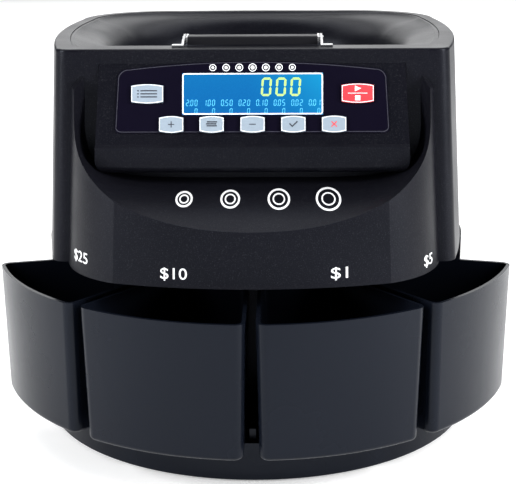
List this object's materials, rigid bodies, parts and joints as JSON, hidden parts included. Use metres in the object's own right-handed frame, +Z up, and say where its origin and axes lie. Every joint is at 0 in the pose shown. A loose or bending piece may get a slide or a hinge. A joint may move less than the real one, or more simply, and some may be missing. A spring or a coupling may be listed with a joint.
{
  "type": "coin sorting machine",
  "caption": "Table-top coin sorter: a flared hopper over a turning disc, a tilted key panel with a display, and wedge-shaped cups round a drum base.",
  "frame": {"origin": "middle of the machine's footprint box, on the surface that it stands on", "axes": "+Z up, -Y towards the user (the control panel and cups face -Y), +X to the user's right"},
  "size_m": [0.3384, 0.3336, 0.2666],
  "materials": {
    "casing": "textured",
    "cups": "satin",
    "overlay": "gloss",
    "display": "gloss",
    "key_light": "satin",
    "key_red": "satin",
    "black_plastic": "matte",
    "steel": "brushed",
    "zinc": "satin",
    "iron": "satin",
    "rubber": "matte",
    "acetal": "satin",
    "board": "satin",
    "ribbon": "matte"
  },
  "bodies": {
    "machine": {"foot_front_left": "rubber", "foot_front_right": "rubber", "foot_rear_right": "rubber", "foot_rear_left": "rubber", "base_plate": "casing", "base_drum": "cups", "pedestal": "casing", "body_shell": "casing", "body_floor": "casing", "control_housing": "casing", "panel_overlay": "overlay", "display_window": "display", "display_module": "black_plastic", "keypad_board": "board", "key_switches": "black_plastic", "panel_ribbon_cable": "ribbon", "hopper_tray": "casing", "bar_pin": "steel", "bar_brackets": "steel", "sorting_plate": "black_plastic", "upper_bearing": "steel", "lower_bearing": "steel", "upper_bearing_housing": "zinc", "lower_bearing_housing": "zinc", "gear_motor": "zinc", "motor_bracket": "zinc", "coin_chute_1": "black_plastic", "coin_chute_2": "black_plastic", "coin_chute_3": "black_plastic", "coin_chute_4": "black_plastic", "coin_sensors": "black_plastic", "support_posts": "zinc", "main_board": "board", "board_standoffs": "zinc", "transformer": "iron", "power_inlet": "black_plastic", "power_switch_frame": "black_plastic", "case_screws": "zinc", "panel_screws": "zinc"},
    "disc": {"feed_disc": "black_plastic", "disc_hub_cap": "black_plastic", "disc_shaft": "steel", "drive_gear": "acetal"},
    "pinion": {"motor_pinion": "steel", "motor_shaft": "steel"},
    "bar": {"hopper_bar": "black_plastic", "bar_arms": "steel"},
    "rocker": {"power_switch_rocker": "black_plastic"},
    "cup_1": {"coin_cup_1": "cups"},
    "cup_2": {"coin_cup_2": "cups"},
    "cup_3": {"coin_cup_3": "cups"},
    "cup_4": {"coin_cup_4": "cups"},
    "report_button": {"report_key": "key_light"},
    "start_stop_button": {"start_stop_key": "key_red"},
    "plus_button": {"plus_key": "key_light"},
    "batch_button": {"batch_key": "key_light"},
    "minus_button": {"minus_key": "key_light"},
    "set_button": {"set_key": "key_light"},
    "clear_button": {"clear_key": "key_light"}
  },
  "joints": [
    {"name": "disc_spin", "type": "hinge", "parent": "machine", "child": "disc", "pos_m": [0, 0.0386, 0.18], "axis": [0, 0, 1], "continuous": true},
    {"name": "pinion_spin", "type": "hinge", "parent": "machine", "child": "pinion", "pos_m": [0, 0.0866, 0.16], "axis": [0, 0, 1], "continuous": true},
    {"name": "bar_lift", "type": "hinge", "parent": "machine", "child": "bar", "pos_m": [0, -0.0469, 0.2636], "axis": [-1, 0, 0], "range_deg": [0, 85]},
    {"name": "power_rocker", "type": "hinge", "parent": "machine", "child": "rocker", "pos_m": [0.026, 0.1541, 0.153], "axis": [1, 0, 0], "range_deg": [0, 18]},
    {"name": "cup_1_slide", "type": "slide", "parent": "machine", "child": "cup_1", "axis": [-0.8329, -0.5534, 0], "range_m": [0, 0.12]},
    {"name": "cup_2_slide", "type": "slide", "parent": "machine", "child": "cup_2", "axis": [-0.3223, -0.9466, 0], "range_m": [0, 0.12]},
    {"name": "cup_3_slide", "type": "slide", "parent": "machine", "child": "cup_3", "axis": [0.3223, -0.9466, 0], "range_m": [0, 0.12]},
    {"name": "cup_4_slide", "type": "slide", "parent": "machine", "child": "cup_4", "axis": [0.8329, -0.5534, 0], "range_m": [0, 0.12]},
    {"name": "report_press", "type": "slide", "parent": "machine", "child": "report_button", "axis": [0, 0.9573, -0.289], "range_m": [0, 0.0008], "stiffness_N_per_m": 400},
    {"name": "start_stop_press", "type": "slide", "parent": "machine", "child": "start_stop_button", "axis": [0, 0.9573, -0.289], "range_m": [0, 0.0008], "stiffness_N_per_m": 400},
    {"name": "plus_press", "type": "slide", "parent": "machine", "child": "plus_button", "axis": [0, 0.9573, -0.289], "range_m": [0, 0.0008], "stiffness_N_per_m": 400},
    {"name": "batch_press", "type": "slide", "parent": "machine", "child": "batch_button", "axis": [0, 0.9573, -0.289], "range_m": [0, 0.0008], "stiffness_N_per_m": 400},
    {"name": "minus_press", "type": "slide", "parent": "machine", "child": "minus_button", "axis": [0, 0.9573, -0.289], "range_m": [0, 0.0008], "stiffness_N_per_m": 400},
    {"name": "set_press", "type": "slide", "parent": "machine", "child": "set_button", "axis": [0, 0.9573, -0.289], "range_m": [0, 0.0008], "stiffness_N_per_m": 400},
    {"name": "clear_press", "type": "slide", "parent": "machine", "child": "clear_button", "axis": [0, 0.9573, -0.289], "range_m": [0, 0.0008], "stiffness_N_per_m": 400}
  ],
  "couplings": [
    {"joint": "pinion_spin", "follows": "disc_spin", "ratio": -3}
  ]
}
